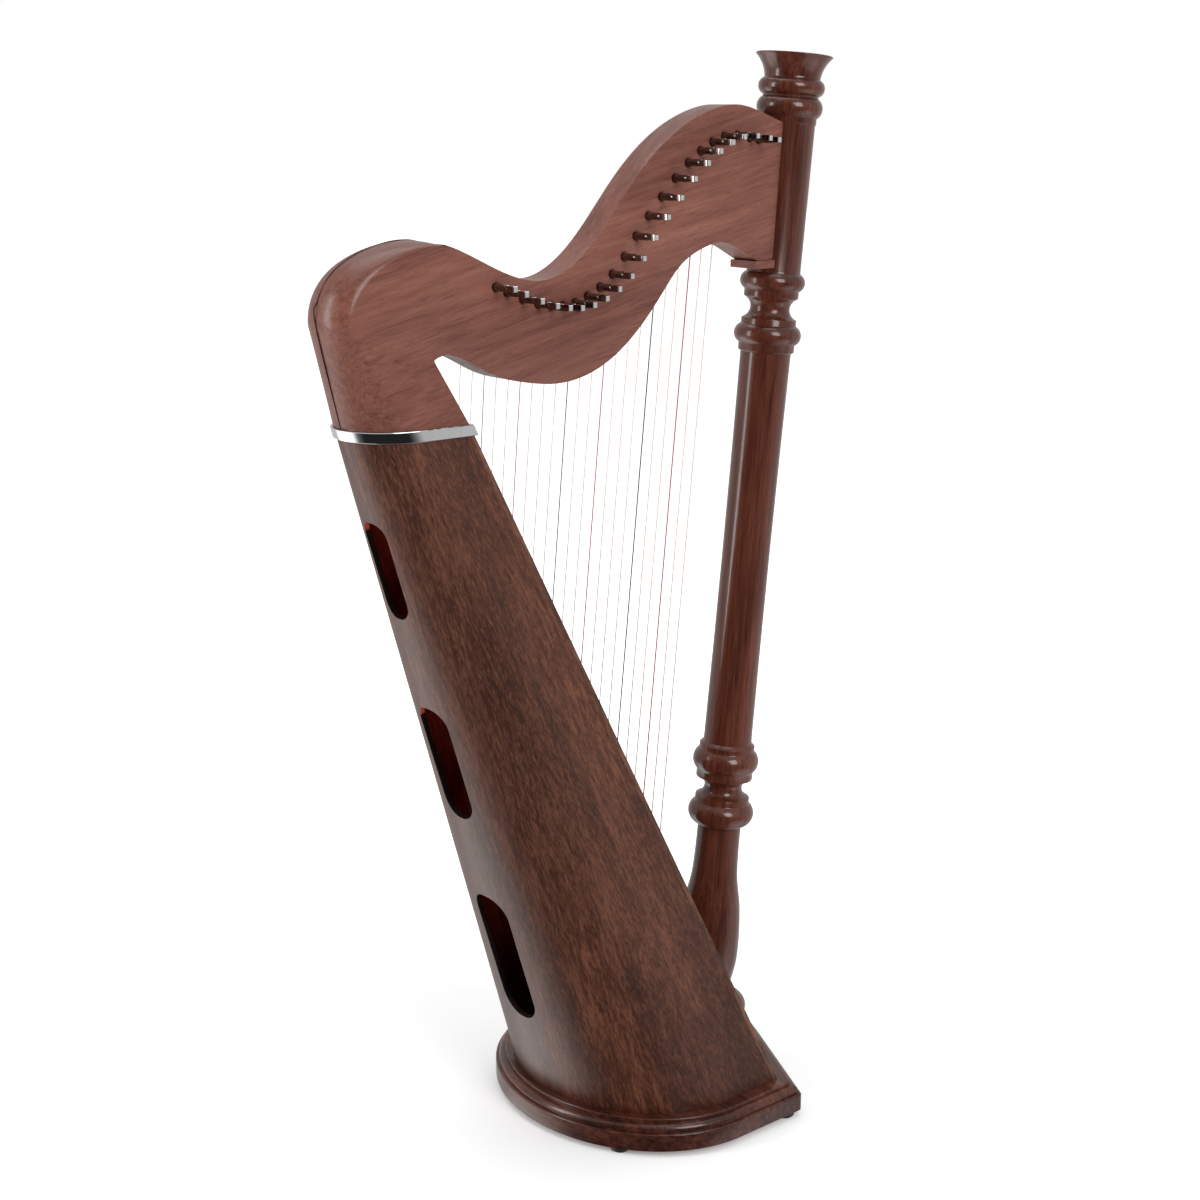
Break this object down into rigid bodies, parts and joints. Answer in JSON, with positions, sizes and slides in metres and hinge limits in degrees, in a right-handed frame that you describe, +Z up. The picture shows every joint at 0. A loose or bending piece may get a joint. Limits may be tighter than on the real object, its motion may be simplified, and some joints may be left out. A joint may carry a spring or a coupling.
{
  "type": "celtic harp",
  "caption": "Free-standing lever-less folk harp: round-backed soundbox on a moulded plinth, flat neck with tuning pins, turned pillar and strings.",
  "frame": {"origin": "bottom centre of the bounding box, on the floor under the feet", "axes": "+X from the player's shoulder to the pillar, +Y to the string side of the neck, +Z up"},
  "size_m": [0.5322, 0.296, 0.9696],
  "materials": {
    "plinth_wood": "satin red-brown lacquer",
    "shell_veneer": "satin streaked veneer",
    "soundboard_wood": "satin",
    "rib_wood": "satin",
    "neck_wood": "satin red-brown",
    "pillar_wood": "gloss red-brown",
    "dowel_wood": "plain",
    "chrome": "polished",
    "pin_steel": "nickel plated",
    "bridge_steel": "plain",
    "brass": "plain",
    "bolt_steel": "zinc plated",
    "foot_rubber": "matte",
    "string_red": "monofilament",
    "string_black": "monofilament",
    "string_clear": "monofilament"
  },
  "bodies": {
    "root": {"base_plinth": "plinth_wood", "bolt_washer": "bolt_steel", "bridge_pins": "bridge_steel", "chrome_band": "chrome", "foot_screws": "bolt_steel", "inner_string_rib": "rib_wood", "neck": "neck_wood", "neck_dowels": "dowel_wood", "neck_plate": "neck_wood", "outer_string_rib": "rib_wood", "pillar": "pillar_wood", "pillar_bolt": "bolt_steel", "pillar_foot": "pillar_wood", "rubber_feet": "foot_rubber", "shoulder_dowels": "dowel_wood", "shoulder_left": "neck_wood", "side_lining_left": "rib_wood", "side_lining_right": "rib_wood", "soundboard": "soundboard_wood", "soundbox_back": "shell_veneer", "string_eyelets": "brass", "strings_black": "string_black", "strings_clear": "string_clear", "strings_red": "string_red", "top_block": "rib_wood"},
    "tuning_pin_01": {"tuning_pin_01": "pin_steel"},
    "tuning_pin_02": {"tuning_pin_02": "pin_steel"},
    "tuning_pin_03": {"tuning_pin_03": "pin_steel"},
    "tuning_pin_04": {"tuning_pin_04": "pin_steel"},
    "tuning_pin_05": {"tuning_pin_05": "pin_steel"},
    "tuning_pin_06": {"tuning_pin_06": "pin_steel"},
    "tuning_pin_07": {"tuning_pin_07": "pin_steel"},
    "tuning_pin_08": {"tuning_pin_08": "pin_steel"},
    "tuning_pin_09": {"tuning_pin_09": "pin_steel"},
    "tuning_pin_10": {"tuning_pin_10": "pin_steel"},
    "tuning_pin_11": {"tuning_pin_11": "pin_steel"},
    "tuning_pin_12": {"tuning_pin_12": "pin_steel"},
    "tuning_pin_13": {"tuning_pin_13": "pin_steel"},
    "tuning_pin_14": {"tuning_pin_14": "pin_steel"},
    "tuning_pin_15": {"tuning_pin_15": "pin_steel"},
    "tuning_pin_16": {"tuning_pin_16": "pin_steel"},
    "tuning_pin_17": {"tuning_pin_17": "pin_steel"},
    "tuning_pin_18": {"tuning_pin_18": "pin_steel"},
    "tuning_pin_19": {"tuning_pin_19": "pin_steel"},
    "tuning_pin_20": {"tuning_pin_20": "pin_steel"},
    "tuning_pin_21": {"tuning_pin_21": "pin_steel"},
    "tuning_pin_22": {"tuning_pin_22": "pin_steel"}
  },
  "joints": [
    {"name": "turn_pin_01", "type": "hinge", "parent": "root", "child": "tuning_pin_01", "pos_m": [0.17649, -0.015, 0.893], "axis": [0, 1, 0], "continuous": true},
    {"name": "turn_pin_02", "type": "hinge", "parent": "root", "child": "tuning_pin_02", "pos_m": [0.16575, -0.015, 0.89468], "axis": [0, 1, 0], "continuous": true},
    {"name": "turn_pin_03", "type": "hinge", "parent": "root", "child": "tuning_pin_03", "pos_m": [0.1504, -0.015, 0.8967], "axis": [0, 1, 0], "continuous": true},
    {"name": "turn_pin_04", "type": "hinge", "parent": "root", "child": "tuning_pin_04", "pos_m": [0.13499, -0.015, 0.896], "axis": [0, 1, 0], "continuous": true},
    {"name": "turn_pin_05", "type": "hinge", "parent": "root", "child": "tuning_pin_05", "pos_m": [0.12114, -0.015, 0.89146], "axis": [0, 1, 0], "continuous": true},
    {"name": "turn_pin_06", "type": "hinge", "parent": "root", "child": "tuning_pin_06", "pos_m": [0.10723, -0.015, 0.8842], "axis": [0, 1, 0], "continuous": true},
    {"name": "turn_pin_07", "type": "hinge", "parent": "root", "child": "tuning_pin_07", "pos_m": [0.09299, -0.015, 0.8745], "axis": [0, 1, 0], "continuous": true},
    {"name": "turn_pin_08", "type": "hinge", "parent": "root", "child": "tuning_pin_08", "pos_m": [0.07803, -0.015, 0.86176], "axis": [0, 1, 0], "continuous": true},
    {"name": "turn_pin_09", "type": "hinge", "parent": "root", "child": "tuning_pin_09", "pos_m": [0.06273, -0.015, 0.84657], "axis": [0, 1, 0], "continuous": true},
    {"name": "turn_pin_10", "type": "hinge", "parent": "root", "child": "tuning_pin_10", "pos_m": [0.04799, -0.015, 0.831], "axis": [0, 1, 0], "continuous": true},
    {"name": "turn_pin_11", "type": "hinge", "parent": "root", "child": "tuning_pin_11", "pos_m": [0.03431, -0.015, 0.81465], "axis": [0, 1, 0], "continuous": true},
    {"name": "turn_pin_12", "type": "hinge", "parent": "root", "child": "tuning_pin_12", "pos_m": [0.02117, -0.015, 0.79791], "axis": [0, 1, 0], "continuous": true},
    {"name": "turn_pin_13", "type": "hinge", "parent": "root", "child": "tuning_pin_13", "pos_m": [0.00799, -0.015, 0.784], "axis": [0, 1, 0], "continuous": true},
    {"name": "turn_pin_14", "type": "hinge", "parent": "root", "child": "tuning_pin_14", "pos_m": [-0.00553, -0.015, 0.77409], "axis": [0, 1, 0], "continuous": true},
    {"name": "turn_pin_15", "type": "hinge", "parent": "root", "child": "tuning_pin_15", "pos_m": [-0.0191, -0.015, 0.76702], "axis": [0, 1, 0], "continuous": true},
    {"name": "turn_pin_16", "type": "hinge", "parent": "root", "child": "tuning_pin_16", "pos_m": [-0.03251, -0.015, 0.7625], "axis": [0, 1, 0], "continuous": true},
    {"name": "turn_pin_17", "type": "hinge", "parent": "root", "child": "tuning_pin_17", "pos_m": [-0.04547, -0.015, 0.76076], "axis": [0, 1, 0], "continuous": true},
    {"name": "turn_pin_18", "type": "hinge", "parent": "root", "child": "tuning_pin_18", "pos_m": [-0.05827, -0.015, 0.76157], "axis": [0, 1, 0], "continuous": true},
    {"name": "turn_pin_19", "type": "hinge", "parent": "root", "child": "tuning_pin_19", "pos_m": [-0.07151, -0.015, 0.764], "axis": [0, 1, 0], "continuous": true},
    {"name": "turn_pin_20", "type": "hinge", "parent": "root", "child": "tuning_pin_20", "pos_m": [-0.08714, -0.015, 0.76885], "axis": [0, 1, 0], "continuous": true},
    {"name": "turn_pin_21", "type": "hinge", "parent": "root", "child": "tuning_pin_21", "pos_m": [-0.10321, -0.015, 0.77531], "axis": [0, 1, 0], "continuous": true},
    {"name": "turn_pin_22", "type": "hinge", "parent": "root", "child": "tuning_pin_22", "pos_m": [-0.11451, -0.015, 0.78], "axis": [0, 1, 0], "continuous": true}
  ]
}
